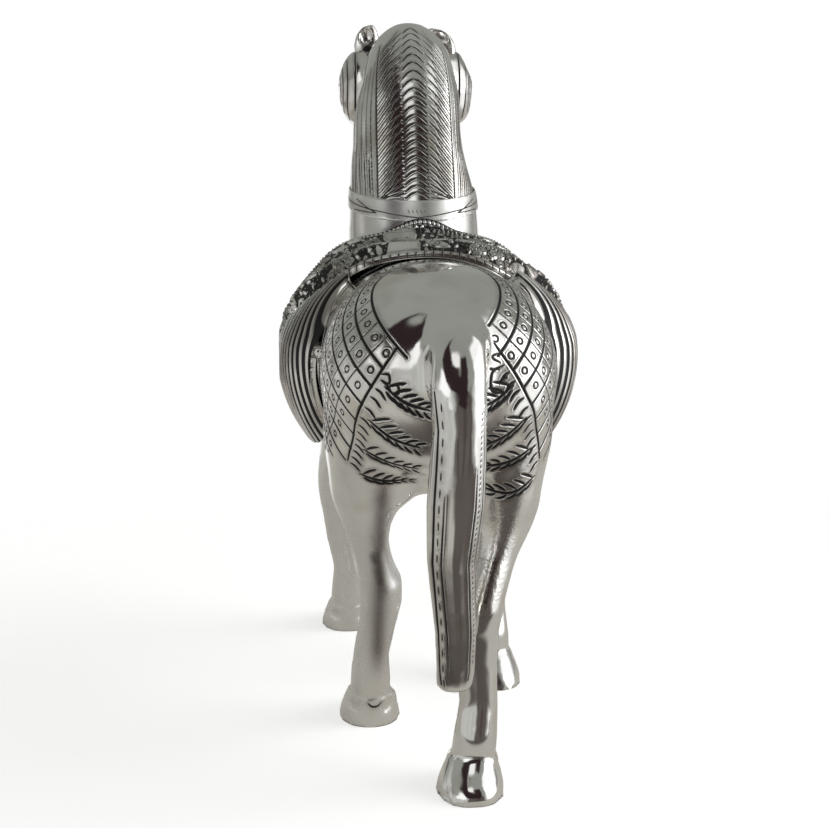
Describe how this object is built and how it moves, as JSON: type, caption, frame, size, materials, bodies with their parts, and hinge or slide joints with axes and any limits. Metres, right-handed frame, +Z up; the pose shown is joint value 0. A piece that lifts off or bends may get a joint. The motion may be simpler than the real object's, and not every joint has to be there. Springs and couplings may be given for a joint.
{
  "type": "horse statue",
  "caption": "Free-standing walking horse statue in polished white metal, with an engraved coat, a collar band, a chased saddle cloth and pleated side cloths.",
  "frame": {"origin": "middle of the statue's footprint box, on the ground under the hooves", "axes": "+Z up, -Y the way the horse walks, +X the horse's left side"},
  "size_m": [0.1084, 0.2464, 0.2511],
  "materials": {
    "polished_white_metal": "mirror-polished nickel-like plating over cast white metal, with black-oxidised engraving",
    "chased_white_metal": "plated cast white metal, chased and black-oxidised in the ground, bright on the raised ornament"
  },
  "bodies": {
    "root": {"trunk_shell_left": "polished_white_metal", "trunk_shell_right": "polished_white_metal", "neck_shell": "polished_white_metal", "head": "polished_white_metal", "ear_left": "polished_white_metal", "ear_right": "polished_white_metal", "neck_collar": "polished_white_metal", "saddle_cloth": "chased_white_metal", "side_cloth_left": "chased_white_metal", "side_cloth_right": "chased_white_metal", "tail": "polished_white_metal", "hind_leg_left_upper": "polished_white_metal", "hind_leg_left_lower": "polished_white_metal", "hind_leg_right_upper": "polished_white_metal", "hind_leg_right_lower": "polished_white_metal", "fore_leg_left_upper": "polished_white_metal", "fore_leg_left_lower": "polished_white_metal", "fore_leg_right_upper": "polished_white_metal", "fore_leg_right_lower": "polished_white_metal"}
  },
  "joints": []
}
